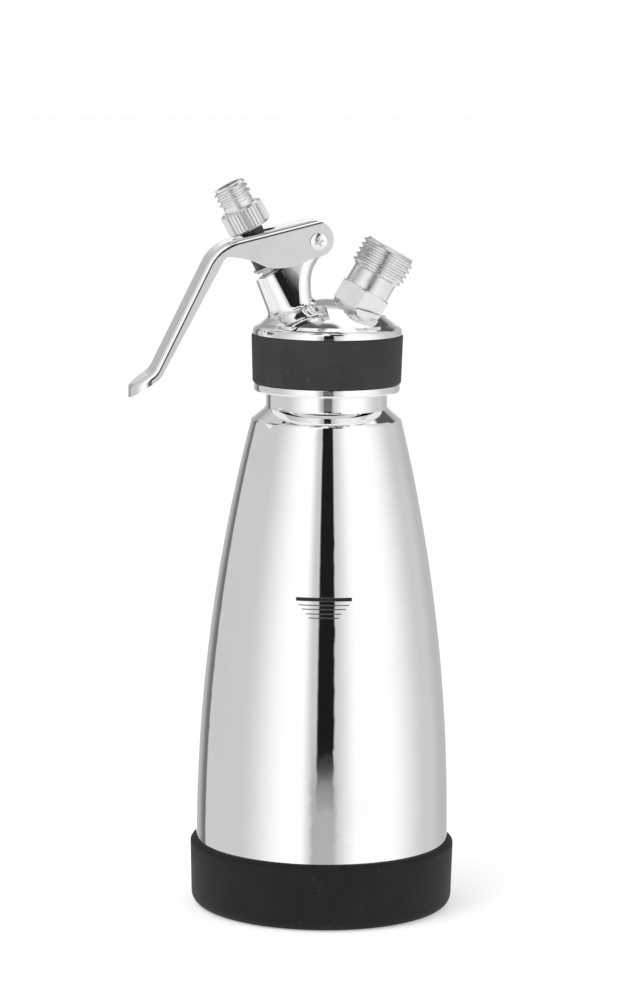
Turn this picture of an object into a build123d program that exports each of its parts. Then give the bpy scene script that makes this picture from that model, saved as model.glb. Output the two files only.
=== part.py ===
"""Whipped cream dispenser: a half-litre steel bottle, a screw-on head with a lever valve and a
charger connector.  Millimetres, +Z up, origin on the bottle's axis at the underside of the boot.
The lever points to -X and the charger connector to +X.
"""

from build123d import *
from math import asin, cos, pi, radians, sin, sqrt, tan
import os

# ---------------------------------------------------------------- driving dimensions
# bottle
BODY_RADIUS = 43.0  # widest outer radius of the steel bottle
BODY_WALL = 1.2
SIDE_ARC_RADIUS = 583.0  # long arc of the bottle's side, seen from the side
SIDE_ARC_START = 25.0  # height where the side starts to curve in
SHOULDER_HEIGHT = 167.3  # top of the long side, where the shoulder turns in
SHOULDER_ROUND = 2.2
FOOT_ROUND = 7.0  # outer corner of the bottle's bottom
FOOT_DISH = 4.0  # how far the bottom is domed inwards
FOOT_DISH_RADIUS = 12.0  # flat middle of the domed bottom
FOOT_RING = 4.0  # width of the slope from the standing ring to the corner
FOOT_DISH_ROUND = 5.0
NECK_RADIUS = 20.5
NECK_WALL = 1.6
NECK_FOOT_RISE = 4.1  # from the shoulder's edge up to the foot of the neck
NECK_FOOT_ROUND = 1.2
NECK_LENGTH = 22.2  # from its foot to the rim

# boot
BOOT_WALL = 2.0
BOOT_FLOOR = 2.6
BOOT_HEIGHT = 22.8
BOOT_GRIP = 0.05  # gap between the stretched boot and the bottle
BOOT_RIM_ROUND = 1.5
BOOT_FOOT_ROUND = 4.0
BOOT_DRAFT = 0.6  # how much narrower the boot is at its foot
BOOT_GROOVES = (14.0, 24.0, 33.0)  # radii of the grooves in the sole
BOOT_GROOVE_WIDTH = 2.4
BOOT_GROOVE_DEPTH = 0.8

# thread between bottle and head
CAP_PITCH = 3.0
CAP_TURNS = 2.5
CAP_RIDGE = 1.25  # how far each ridge stands out
CAP_RIDGE_FOOT = 1.5  # width of a ridge at its foot
CAP_RIDGE_CREST = 0.7
CAP_CLEARANCE = 0.35  # radial room between a crest and the other part
RIDGE_BITE = 0.3  # how far a ridge's root goes into its core
CAP_START = 2.2  # first turn of the thread above the head's lip

# gasket between head and bottle
GASKET_HEIGHT = 2.2
GASKET_INNER = 17.6
GASKET_OUTER = 21.9

# head casting, its heights measured from the gasket's seat
SKIRT_DEPTH = 19.22
LIP_RADIUS = 24.7
LIP_HEIGHT = 2.9
SKIRT_RADIUS = 23.6  # under the silicone band
BAND_HEIGHT = 16.6
BAND_TOP_RADIUS = 25.6
BAND_BOTTOM_RADIUS = 25.1
LIP_ROUND = 0.9
LIP_EDGE_ROUND = 0.4
BAND_EDGE_ROUND = 0.8
DOME_EDGE_RADIUS = 25.25
DOME_EDGE_RISE = 2.093122  # from the band up to the rounded edge
DOME_EDGE_ROUND = 2.6
DOME_RIM_RADIUS = 22.4  # where the dome's sphere starts
DOME_RIM_RISE = 1.7  # from the rounded edge up to the dome's rim
DOME_RADIUS = 35.0  # sphere of the dome
CEILING_WALL = 9.0  # metal left above the hollow under the dome
HOLLOW_RADIUS = 13.0

# valve barrel, its axis leans towards the lever
BARREL_LEAN = 28.5  # degrees from vertical
BARREL_REACH = 18.44  # middle of its rim, from the bottle's axis
BARREL_RISE = 21.32
BARREL_RADIUS = 6.8
BARREL_DRAFT = 7.2  # degrees, widening downwards
BARREL_DEPTH = 17.0  # down to inside the dome
BARREL_ROOT_ROUND = 2.4  # hollow blend at the foot of the barrel and the web
VALVE_BOSS_RADIUS = 7.2
VALVE_BOSS_DEPTH = 12.0  # its upper end, down the barrel's axis from the rim
SEAT_DEPTH = 27.0  # valve seat, measured down the barrel's axis from its rim
SPRING_POCKET_RADIUS = 5.5
SPRING_POCKET_DEPTH = 10.0
GUIDE_RADIUS = 4.7

# web and lug that carry the lever's pivot
PIVOT_REACH = 4.5  # from the bottle's axis towards the lever
PIVOT_RISE = 31.88
LUG_RADIUS = 4.7
LUG_HALF = 6.9  # half thickness between the lever's cheeks
WEB_NOSE_ROUND = 4.4  # rounding of the web's rear edge
WEB_FLAT = 1.6  # straight part of the web's side, from the middle of the barrel
WEB_REACH = 26.0  # from the middle of the barrel to beyond the web's rear edge
WEB_CROWN = 2.0  # how much the crowned side falls away over that reach
WEB_TOP = 6.0  # height above the barrel's rim, clear of the lug's middle

# valve
STEM_RADIUS = 3.0
STEM_BORE = 1.9
STEM_BORE_END = 0.6  # above the valve seat
RUNNING_FIT = 0.06
STEM_TOP = 21.0  # end of the stem, up the barrel's axis from its rim
PORT_RADIUS = 1.1
CHAMBER_RADIUS = 4.0
CHAMBER_HEIGHT = 3.6
SEAL_RADIUS = 5.6
SEAL_HEIGHT = 1.8
SEAT_GAP = 0.1
FOOT_RADIUS = 5.4
FOOT_HEIGHT = 2.0
O_RING_WIRE = 1.2
O_RING_DEPTH = 19.0
O_RING_PLAY = 0.1
CAP_DISC_RADIUS = 6.1
CAP_DISC_HEIGHT = 0.8
CAP_DISC_LEVEL = 2.3  # underside of the spring cap above the barrel's rim
CAP_TUBE_WALL = 0.7
CAP_TUBE_LENGTH = 3.0
CLIP_HEIGHT = 0.7
CLIP_RADIUS = 4.1
CLIP_GROOVE = 0.5  # depth of the clip's groove in the stem
CLIP_OPENING = 3.5
BUSH_RADIUS = 5.2
BUSH_NECK_RADIUS = 3.7
BUSH_CROWN = 9.0  # radius of the bush's domed top, on which the lever rides
SPRING_WIRE = 0.9
SPRING_COILS = 5.5
SPRING_ROOM = 0.2  # between the spring and its pocket

# knurled nozzle adapter on top of the stem
ADAPTER_LEVEL = 16.45  # underside of the knurled body above the barrel's rim
KNURL_RADIUS = 7.5
KNURL_HEIGHT = 7.95
KNURL_TEETH = 36
KNURL_DEPTH = 0.42
KNURL_BEVEL = 0.9
ADAPTER_NECK_RADIUS = 5.25
ADAPTER_NECK_LENGTH = 2.2
NOZZLE_THREAD_RADIUS = 5.9
NOZZLE_THREAD_LENGTH = 6.2
NOZZLE_BORE = 3.8
FINE_PITCH = 1.85
FINE_RIDGE = 0.95
FINE_FOOT = 1.702  # width of the fine thread's ridge at its foot
FINE_CREST = 0.407
FINE_BITE = 0.15
ADAPTER_SEAL_HEIGHT = 1.2
ADAPTER_PASSAGE = 2.2  # radius between the seal and the nozzle's bore

# lever, stamped from sheet
LEVER_SHEET = 1.6
PLATE_SLOPE = 14.0  # degrees, falling away from the pivot
PLATE_RISE = 7.2  # top of the plate above the pivot, square to the plate
PLATE_LENGTH = 33.7  # from beside the pivot to the bend
HEEL_START = 1.0  # where the plate's end turns down, along the plate from beside the pivot
HEEL_END = 158.0  # degrees round the heel, where the cheek's lower edge meets it
ARM_SLOPE = 64.0
ARM_LENGTH = 47.5
TIP_SLOPE = 34.0
TIP_LENGTH = 8.9
ARM_BEND_RADIUS = 15.5
TIP_BEND_RADIUS = 7.0
FLANGE_DEPTH = 3.2  # depth of the turned-down edge along the arm
LEVER_HALF = 8.8  # half width
LEVER_EDGE_ROUND = 2.0
TIP_ROUND = 7.0
SLOT_CLEARANCE = 0.45
LEVER_PLAY = 0.03  # between the slot's edges and the bush
SLOT_START = 16.2  # ends of the slot's centre line, measured along the plate
SLOT_END = 20.2
CHEEK_RADIUS = 5.2
CHEEK_ROUND = 2.0  # where the cheek's edge meets the arm

# pivot bolt and its sleeve nut
BOLT_RADIUS = 2.0
BOLT_HEAD_RADIUS = 2.8
BOLT_HEAD_HEIGHT = 1.3
BOLT_END_PLAY = 0.15
RECESS_WIDTH = 0.7
RECESS_DEPTH = 0.9
RECESS_LENGTH = 3.0
SCREW_RADIUS = 1.25  # threaded end of the bolt
SCREW_END = 3.0  # how far it runs past the middle
SLEEVE_PLAY = 0.4  # between the nut's sleeve and the bolt's head and end

# charger connector, its axis leans away from the lever
NIPPLE_LEAN = 30.0
NIPPLE_REACH = 15.92  # point on its axis just below the thread, from the bottle's axis
NIPPLE_RISE = 19.64
HEX_FLATS = 17.0
HEX_HEIGHT = 7.2
HEX_TURN = 21.0  # degrees that one corner is turned from the side view
HEX_BEVEL = 0.7
SHANK_RADIUS = 7.85
SHANK_LENGTH = 6.4
SHANK_RISE = 0.9  # its upper end, above the connector's reference point
CHARGER_THREAD_RADIUS = 9.5
CHARGER_THREAD_LENGTH = 9.9
CHARGER_BORE = 4.9
CHARGER_BORE_DEPTH = 10.8
CHARGER_MOUTH = 5.4  # wider mouth that guides a charger's neck
CHARGER_MOUTH_DEPTH = 4.6
STUD_RADIUS = 6.0
STUD_LENGTH = 8.0
SPOTFACE_CLEARANCE = 0.5
WASHER_HEIGHT = 0.8
WASHER_RADIUS = 8.2
PIN_RADIUS = 1.15
PIN_LENGTH = 5.4
PIN_BASE_RADIUS = 4.2
PIN_BASE_HEIGHT = 5.0
PIN_POINT = 2.2  # length of the tapered point
PIN_BORE = 0.35
PIN_SHANK_RADIUS = 1.6
PIN_SHANK_LENGTH = 6.5
SLEEVE_WALL = 0.9
SLEEVE_LENGTH = 5.0
SLEEVE_START = 0.4  # above the shank's end
PASSAGE_ROOM = 0.7  # for the gas around the sleeve
CHARGER_SEAL_HEIGHT = 2.0
CHARGER_SEAL_INNER = 2.05
CHARGER_SEAL_PLAY = 0.1
FACE_GAP = 0.02  # between pieces that are screwed or pressed together

# ---------------------------------------------------------------- working planes
SIDE = Plane.XZ


def leaning_plane(point, lean):
    """Plane square to an axis that leans by lean degrees towards +X from vertical."""
    lean = radians(lean)
    return Plane(point, x_dir=(cos(lean), 0, -sin(lean)), z_dir=(sin(lean), 0, cos(lean)))


def section_plane(base):
    """Plane through the axis of base: its x is the radius and its y runs up the axis."""
    return Plane(base.origin, x_dir=base.x_dir, z_dir=-base.y_dir)


def axis_of(base):
    """Axis of a turned piece that stands on base."""
    return Axis(base.origin, base.z_dir)


NECK_FOOT = SHOULDER_HEIGHT + NECK_FOOT_RISE
NECK_TOP = NECK_FOOT + NECK_LENGTH
CEILING = NECK_TOP + FACE_GAP + GASKET_HEIGHT  # seat of the gasket in the head
PIVOT = (-PIVOT_REACH, CEILING + PIVOT_RISE)

UPRIGHT = Plane.XY
VALVE = leaning_plane((-BARREL_REACH, 0, CEILING + BARREL_RISE), -BARREL_LEAN)
NIPPLE = leaning_plane((NIPPLE_REACH, 0, CEILING + NIPPLE_RISE), NIPPLE_LEAN)
PIVOT_NEAR = Plane((PIVOT[0], 0, PIVOT[1]), x_dir=(1, 0, 0), z_dir=(0, -1, 0))
PIVOT_FAR = Plane((PIVOT[0], 0, PIVOT[1]), x_dir=(1, 0, 0), z_dir=(0, 1, 0))


# ---------------------------------------------------------------- shared shapes
def outline(base, *points):
    """Closed profile through (radius, height) points, ready to be turned about base's axis."""
    with BuildSketch(section_plane(base)) as sketch:
        with BuildLine():
            Polyline(*points, close=True)
        make_face()
    return sketch.sketch


def ring(base, inner, outer, low, high):
    """Rectangular profile of a plain ring."""
    return outline(base, (inner, low), (outer, low), (outer, high), (inner, high))


def wound(base, section, radius, pitch, turns, low):
    """Solid swept along a right-handed helix; the section's x points outwards from the helix."""
    with BuildPart() as coil:
        with BuildLine() as path:
            Helix(pitch, pitch * turns, radius, center=(0, 0, low))
        start = path.line @ 0
        section_plane_here = Plane(start, x_dir=(start.X, start.Y, 0), z_dir=path.line % 0)
        sweep(section_plane_here * section, path=path.line, is_frenet=True)
    return base.location * coil.part


def thread_ridge(base, foot_radius, crest_radius, pitch, turns, foot_width, crest_width, low):
    """One helical ridge of a thread, from foot_radius to crest_radius, starting at height low."""
    with BuildSketch(Plane.XY) as section:
        with BuildLine():
            Polyline((0, -foot_width / 2), (crest_radius - foot_radius, -crest_width / 2),
                     (crest_radius - foot_radius, crest_width / 2), (0, foot_width / 2), close=True)
        make_face()
    return wound(base, section.sketch, foot_radius, pitch, turns, low)


def corner(sketch, *point):
    """Corner of an open sketch that lies at a point."""
    return sketch.vertices().sort_by_distance((*point, 0))[0]


def write(builder, name):
    """Label a finished piece and export it."""
    builder.part.label = name
    export_step(builder.part, f"parts/{name}.step")


os.makedirs("parts", exist_ok=True)

# ---------------------------------------------------------------- bottle
SKIRT_BOTTOM = CEILING - SKIRT_DEPTH
BAND_LOW = SKIRT_BOTTOM + LIP_HEIGHT
BAND_TOP = BAND_LOW + BAND_HEIGHT
CAP_CREST = NECK_RADIUS + CAP_RIDGE
CAP_LOW = BAND_LOW + CAP_START


def bottle_outline(inset):
    """Half section of the bottle, moved inwards by inset; the wall is the outer less the inner one."""
    low = BOOT_FLOOR + inset
    dish = low + FOOT_DISH
    foot = FOOT_ROUND - inset
    waist = BODY_RADIUS - inset
    ring_edge = waist - foot - FOOT_RING
    turn = asin((SHOULDER_HEIGHT - SIDE_ARC_START) / SIDE_ARC_RADIUS)
    arc = SIDE_ARC_RADIUS - inset
    shoulder = (waist - arc + arc * cos(turn), SIDE_ARC_START + arc * sin(turn))
    middle = (waist - arc + arc * cos(turn / 2), SIDE_ARC_START + arc * sin(turn / 2))
    neck = NECK_RADIUS - (NECK_WALL if inset else 0)
    neck_foot = NECK_FOOT - inset * 0.6
    top = NECK_TOP + (1 if inset else 0)
    with BuildSketch(section_plane(UPRIGHT)) as sketch:
        with BuildLine():
            Polyline((0, top), (0, dish), (FOOT_DISH_RADIUS, dish), (ring_edge, low), (waist, low))
            Line((waist, low), (waist, SIDE_ARC_START))
            ThreePointArc((waist, SIDE_ARC_START), middle, shoulder)
            Polyline(shoulder, (neck, neck_foot), (neck, top), (0, top))
        make_face()
        fillet(corner(sketch, waist, low), foot)
        fillet(corner(sketch, *shoulder), SHOULDER_ROUND - inset * 0.8)
        fillet(corner(sketch, neck, neck_foot), NECK_FOOT_ROUND + inset * 0.5)
        fillet(corner(sketch, FOOT_DISH_RADIUS, dish), FOOT_DISH_ROUND)
        fillet(corner(sketch, ring_edge, low), FOOT_DISH_ROUND)
    return sketch.sketch


with BuildPart() as bottle:
    revolve(bottle_outline(0), axis=Axis.Z)
    revolve(bottle_outline(BODY_WALL), axis=Axis.Z, mode=Mode.SUBTRACT)
    add(thread_ridge(UPRIGHT, NECK_RADIUS - RIDGE_BITE, CAP_CREST, CAP_PITCH, CAP_TURNS,
                     CAP_RIDGE_FOOT + RIDGE_BITE, CAP_RIDGE_CREST, CAP_LOW))
write(bottle, "bottle")

# ---------------------------------------------------------------- boot
with BuildPart() as base_boot:
    boot_inner = BODY_RADIUS + BOOT_GRIP
    boot_outer = boot_inner + BOOT_WALL
    boot_foot = boot_outer - BOOT_DRAFT
    sole = BOOT_FLOOR - BOOT_GRIP
    with BuildSketch(section_plane(UPRIGHT)) as boot_section:
        with BuildLine():
            Polyline((0, 0), (boot_foot, 0), (boot_outer, BOOT_HEIGHT), (boot_inner, BOOT_HEIGHT),
                     (boot_inner, sole), (0, sole), close=True)
        make_face()
        fillet(corner(boot_section, boot_foot, 0), BOOT_FOOT_ROUND)
        fillet(corner(boot_section, boot_outer, BOOT_HEIGHT), BOOT_RIM_ROUND)
        fillet(corner(boot_section, boot_inner, sole), FOOT_ROUND + BOOT_GRIP)
        for groove in BOOT_GROOVES:
            with Locations((groove, 0)):
                Rectangle(BOOT_GROOVE_WIDTH, 2 * BOOT_GROOVE_DEPTH, mode=Mode.SUBTRACT)
    revolve(axis=Axis.Z)
write(base_boot, "base_boot")

# ---------------------------------------------------------------- head: gasket, casting, band
CHAMBER_TOP = -SEAT_DEPTH + CHAMBER_HEIGHT
HEX_CORNER = HEX_FLATS / 2 / cos(pi / 6)
SHANK_LOW = SHANK_RISE - SHANK_LENGTH
HEX_LOW = SHANK_LOW - HEX_HEIGHT
HEAD_BORE = CAP_CREST + CAP_CLEARANCE
HEAD_CREST = NECK_RADIUS + CAP_CLEARANCE
DOME_EDGE = BAND_TOP + DOME_EDGE_RISE
DOME_CENTRE = DOME_EDGE + DOME_RIM_RISE - sqrt(DOME_RADIUS**2 - DOME_RIM_RADIUS**2)
DOME_TOP = DOME_CENTRE + DOME_RADIUS

with BuildPart() as head_gasket:
    revolve(ring(UPRIGHT, GASKET_INNER, GASKET_OUTER, NECK_TOP + FACE_GAP, CEILING), axis=Axis.Z)
write(head_gasket, "head_gasket")

with BuildPart() as collar_ring:
    revolve(outline(UPRIGHT, (SKIRT_RADIUS + FACE_GAP, BAND_LOW + FACE_GAP),
                    (BAND_BOTTOM_RADIUS, BAND_LOW + FACE_GAP), (BAND_TOP_RADIUS, BAND_TOP - FACE_GAP),
                    (SKIRT_RADIUS + FACE_GAP, BAND_TOP - FACE_GAP)), axis=Axis.Z)
    rims = collar_ring.edges().filter_by(GeomType.CIRCLE).sort_by(lambda e: e.radius)[-2:]
    fillet(rims, BAND_EDGE_ROUND)
write(collar_ring, "collar_ring")

# edges of the web in side view, measured from the pivot; the rear one ends inside the dome
BEYOND = 60.0  # clear of everything
WEB_REAR = ((4.7, 0.0), (2.6, -4.5), (0.2, -7.4), (-1.0, -9.6), (-1.75, -13.4), (-1.75, -16.9),
            (-1.6, -19.0), (-1.6, -31.0))
WEB_FRONT = ((-10.5, -18.7), (-9.0, -15.7), (-7.5, -10.7), (-6.0, -7.7), (-4.7, 0.0))


def from_pivot(*points):
    """Points of a side view that are given from the pivot."""
    return [(PIVOT[0] + x, PIVOT[1] + z) for x, z in points]


def dome_height(radius):
    """Height of the dome's sphere at a distance from the bottle's axis."""
    return DOME_CENTRE + sqrt(DOME_RADIUS**2 - radius**2)


def on_rear_edge(edge):
    """Whether an edge of the pedestal runs down one side of the web's rear edge."""
    ends = (edge @ 0.02, edge @ 0.98)
    return all(abs(end.Y) > WEB_NOSE_ROUND and end.X > PIVOT[0] + WEB_REAR[4][0] - 0.1 for end in ends) \
        and abs(ends[0].Z - ends[1].Z) > 1


def on_dome(edge):
    """Whether an edge lies on the dome's sphere, inside its rim."""
    spots = [edge @ share for share in (0.1, 0.5, 0.9)]
    return all(
        abs(spot.X**2 + spot.Y**2 + (spot.Z - DOME_CENTRE)**2 - DOME_RADIUS**2) < 0.7
        and spot.X**2 + spot.Y**2 < (DOME_RIM_RADIUS - 0.1)**2 for spot in spots
    ) and abs(spots[0].Y) + abs(spots[2].Y) > 0.01


def web_section(level):
    """Barrel and web cut square to the barrel's axis: a round front whose flanks run on, slightly crowned."""
    radius = BARREL_RADIUS - level * tan(radians(BARREL_DRAFT))
    rear = radius - WEB_CROWN
    with BuildSketch(VALVE.offset(level)) as sketch:
        with BuildLine():
            ThreePointArc((0, radius), (-radius, 0), (0, -radius))
            Line((0, -radius), (WEB_FLAT, -radius))
            TangentArc((WEB_FLAT, -radius), (WEB_REACH, -rear), tangent=(1, 0))
            Line((WEB_REACH, -rear), (WEB_REACH, rear))
            TangentArc((WEB_FLAT, radius), (WEB_REACH, rear), tangent=(1, 0))
            Line((WEB_FLAT, radius), (0, radius))
        make_face()
    return sketch.sketch


with BuildPart() as head_pedestal:
    # barrel and web, widening downwards together
    loft([web_section(-BARREL_DEPTH), web_section(WEB_TOP)], ruled=True)
    # above the barrel's rim only the web goes on, up to the lug
    with BuildPart(mode=Mode.PRIVATE) as above_rim:
        with BuildSketch(VALVE):
            Rectangle(2 * BEYOND, 2 * BEYOND)
        extrude(amount=BEYOND)
        with BuildSketch(SIDE):
            with BuildLine():
                Spline(*from_pivot(*WEB_FRONT))
                Polyline(*from_pivot(WEB_FRONT[-1], (2 * WEB_REACH, 0), (2 * WEB_REACH, WEB_FRONT[0][1]),
                                     WEB_FRONT[0]))
            make_face()
        extrude(amount=BARREL_DEPTH, both=True, mode=Mode.SUBTRACT)
    add(above_rim.part, mode=Mode.SUBTRACT)
    # rear edge, rounded all the way across
    with BuildSketch(SIDE):
        with BuildLine():
            Spline(*from_pivot(*WEB_REAR))
            Polyline(*from_pivot(WEB_REAR[-1], (BEYOND, WEB_REAR[-1][1]), (BEYOND, BEYOND),
                                 (WEB_REAR[0][0], BEYOND), WEB_REAR[0]))
        make_face()
    extrude(amount=BARREL_DEPTH, both=True, mode=Mode.SUBTRACT)
    fillet(head_pedestal.edges().filter_by(on_rear_edge), WEB_NOSE_ROUND)

with BuildPart() as head_body:
    # turned casting: lip, skirt under the band, rounded edge and dome
    with BuildSketch(section_plane(UPRIGHT)) as head_section:
        with BuildLine():
            Polyline((0, SKIRT_BOTTOM), (LIP_RADIUS, SKIRT_BOTTOM), (LIP_RADIUS, BAND_LOW),
                     (SKIRT_RADIUS, BAND_LOW), (SKIRT_RADIUS, BAND_TOP), (DOME_EDGE_RADIUS, BAND_TOP),
                     (DOME_EDGE_RADIUS, DOME_EDGE), (DOME_RIM_RADIUS, dome_height(DOME_RIM_RADIUS)))
            ThreePointArc((DOME_RIM_RADIUS, dome_height(DOME_RIM_RADIUS)),
                          (DOME_RIM_RADIUS / 2, dome_height(DOME_RIM_RADIUS / 2)), (0, DOME_TOP))
            Line((0, DOME_TOP), (0, SKIRT_BOTTOM))
        make_face()
        fillet(corner(head_section, DOME_EDGE_RADIUS, DOME_EDGE), DOME_EDGE_ROUND)
        fillet(corner(head_section, LIP_RADIUS, SKIRT_BOTTOM), LIP_ROUND)
        fillet(corner(head_section, LIP_RADIUS, BAND_LOW), LIP_EDGE_ROUND)
    revolve(axis=Axis.Z)
    # barrel and web, blended into the dome, and the lug
    add(head_pedestal.part)
    fillet(head_body.edges().filter_by(on_dome), BARREL_ROOT_ROUND)
    with Locations(PIVOT_NEAR):
        Cylinder(LUG_RADIUS, 2 * LUG_HALF)
    # pocket in the dome for the charger connector
    with Locations(NIPPLE.offset(HEX_LOW - WASHER_HEIGHT - FACE_GAP)):
        Cylinder(HEX_CORNER + SPOTFACE_CLEARANCE, DOME_RADIUS, mode=Mode.SUBTRACT,
                 align=(Align.CENTER, Align.CENTER, Align.MIN))
    # hollow under the dome, threaded skirt and gasket seat
    hollow_top = DOME_TOP - CEILING_WALL
    revolve(outline(UPRIGHT, (0, SKIRT_BOTTOM - 1), (HEAD_BORE, SKIRT_BOTTOM - 1), (HEAD_BORE, CEILING),
                    (HOLLOW_RADIUS, CEILING), (HOLLOW_RADIUS, hollow_top), (0, hollow_top)),
            axis=Axis.Z, mode=Mode.SUBTRACT)
    add(thread_ridge(UPRIGHT, HEAD_BORE + RIDGE_BITE, HEAD_CREST, CAP_PITCH, CAP_TURNS,
                     CAP_RIDGE_FOOT + RIDGE_BITE, CAP_RIDGE_CREST, CAP_LOW - CAP_PITCH / 2))
    # valve boss under the dome and the bores along the valve's axis
    revolve(ring(VALVE, 0, VALVE_BOSS_RADIUS, -SEAT_DEPTH, -VALVE_BOSS_DEPTH), axis=axis_of(VALVE))
    revolve(outline(VALVE, (0, -SEAT_DEPTH - 1), (CHAMBER_RADIUS, -SEAT_DEPTH - 1),
                    (CHAMBER_RADIUS, CHAMBER_TOP), (GUIDE_RADIUS, CHAMBER_TOP),
                    (GUIDE_RADIUS, -SPRING_POCKET_DEPTH), (SPRING_POCKET_RADIUS, -SPRING_POCKET_DEPTH),
                    (SPRING_POCKET_RADIUS, 1), (0, 1)), axis=axis_of(VALVE), mode=Mode.SUBTRACT)
    # hole for the connector's stud and bore for the pivot
    with Locations(NIPPLE.offset(HEX_LOW - WASHER_HEIGHT)):
        Cylinder(STUD_RADIUS + FACE_GAP, 2 * STUD_LENGTH, mode=Mode.SUBTRACT)
    with Locations(PIVOT_NEAR):
        Cylinder(BOLT_RADIUS + RUNNING_FIT, 4 * LUG_HALF, mode=Mode.SUBTRACT)
write(head_body, "head_body")

# ---------------------------------------------------------------- valve guide and its O-ring
with BuildPart() as valve_guide:
    revolve(ring(VALVE, STEM_RADIUS + RUNNING_FIT, GUIDE_RADIUS - FACE_GAP, CHAMBER_TOP + FACE_GAP,
                 -SPRING_POCKET_DEPTH), axis=axis_of(VALVE))
    groove_radius = STEM_RADIUS + RUNNING_FIT + O_RING_WIRE + FACE_GAP
    revolve(ring(VALVE, 0, groove_radius, -O_RING_DEPTH, O_RING_WIRE + 2 * O_RING_PLAY - O_RING_DEPTH),
            axis=axis_of(VALVE), mode=Mode.SUBTRACT)
write(valve_guide, "valve_guide")

with BuildPart() as stem_o_ring:
    with BuildSketch(section_plane(VALVE)):
        with Locations((STEM_RADIUS + RUNNING_FIT + O_RING_WIRE / 2,
                        O_RING_WIRE / 2 + O_RING_PLAY - O_RING_DEPTH)):
            Circle(O_RING_WIRE / 2)
    revolve(axis=axis_of(VALVE))
write(stem_o_ring, "stem_o_ring")

# ---------------------------------------------------------------- valve stem and what rides on it
CLIP_TOP = CAP_DISC_LEVEL - CAP_TUBE_LENGTH - FACE_GAP
CLIP_LOW = CLIP_TOP - CLIP_HEIGHT
FOOT_TOP = -SEAT_DEPTH - SEAT_GAP - SEAL_HEIGHT - FACE_GAP
CAP_TOP = CAP_DISC_LEVEL + CAP_DISC_HEIGHT
FIT = STEM_RADIUS + FACE_GAP

with BuildPart() as valve_stem:
    revolve(outline(VALVE, (0, FOOT_TOP - FOOT_HEIGHT), (FOOT_RADIUS, FOOT_TOP - FOOT_HEIGHT),
                    (FOOT_RADIUS, FOOT_TOP), (STEM_RADIUS, FOOT_TOP), (STEM_RADIUS, STEM_TOP),
                    (STEM_BORE, STEM_TOP), (STEM_BORE, STEM_BORE_END - SEAT_DEPTH), (0, 0.2 - SEAT_DEPTH)),
            axis=axis_of(VALVE))
    revolve(ring(VALVE, STEM_RADIUS - CLIP_GROOVE, STEM_RADIUS + 1, CLIP_LOW - FACE_GAP,
                 CLIP_TOP + FACE_GAP), axis=axis_of(VALVE), mode=Mode.SUBTRACT)
    ports = Plane(VALVE.origin + VALVE.z_dir * (-SEAT_DEPTH + CHAMBER_HEIGHT / 2),
                  x_dir=VALVE.x_dir, z_dir=VALVE.y_dir)
    with Locations(ports):
        Cylinder(PORT_RADIUS, 3 * STEM_RADIUS, mode=Mode.SUBTRACT)
        Cylinder(PORT_RADIUS, 3 * STEM_RADIUS, rotation=(0, 90, 0), mode=Mode.SUBTRACT)
write(valve_stem, "valve_stem")

with BuildPart() as stem_seal:
    revolve(ring(VALVE, FIT, SEAL_RADIUS, FOOT_TOP + FACE_GAP, -SEAT_DEPTH - SEAT_GAP), axis=axis_of(VALVE))
write(stem_seal, "stem_seal")

with BuildPart() as stem_clip:
    revolve(ring(VALVE, STEM_RADIUS - CLIP_GROOVE + FACE_GAP, CLIP_RADIUS, CLIP_LOW, CLIP_TOP),
            axis=axis_of(VALVE))
    with Locations(VALVE.offset((CLIP_LOW + CLIP_TOP) / 2)):
        with Locations((0, CLIP_RADIUS)):
            Box(CLIP_OPENING, 2 * CLIP_RADIUS, 3 * CLIP_HEIGHT, mode=Mode.SUBTRACT)
write(stem_clip, "stem_clip")

with BuildPart() as spring_cap:
    tube = FIT + CAP_TUBE_WALL
    revolve(outline(VALVE, (FIT, CLIP_TOP + FACE_GAP), (tube, CLIP_TOP + FACE_GAP), (tube, CAP_DISC_LEVEL),
                    (CAP_DISC_RADIUS, CAP_DISC_LEVEL), (CAP_DISC_RADIUS, CAP_TOP), (FIT, CAP_TOP)),
            axis=axis_of(VALVE))
    rims = spring_cap.edges().filter_by(GeomType.CIRCLE).sort_by(lambda e: e.radius)[-2:]
    fillet(rims, CAP_DISC_HEIGHT * 0.4)
write(spring_cap, "spring_cap")

# the lever's underside seen from the valve's axis: crown height where the lever touches the bush
PIVOT_OFFSET = (BARREL_REACH - PIVOT_REACH) * cos(radians(BARREL_LEAN)) \
    + (PIVOT_RISE - BARREL_RISE) * sin(radians(BARREL_LEAN))
PIVOT_LEVEL = (PIVOT_REACH - BARREL_REACH) * sin(radians(BARREL_LEAN)) \
    + (PIVOT_RISE - BARREL_RISE) * cos(radians(BARREL_LEAN))
SLOT_HALF = BUSH_NECK_RADIUS + SLOT_CLEARANCE
TILT = radians(BARREL_LEAN - PLATE_SLOPE)
CROWN_HERE = sqrt(BUSH_CROWN**2 - SLOT_HALF**2)
UNDERSIDE = PLATE_RISE - LEVER_SHEET
CROWN_CENTRE = PIVOT_LEVEL + (UNDERSIDE - CROWN_HERE - LEVER_PLAY + PIVOT_OFFSET * sin(TILT)) / cos(TILT)

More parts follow.
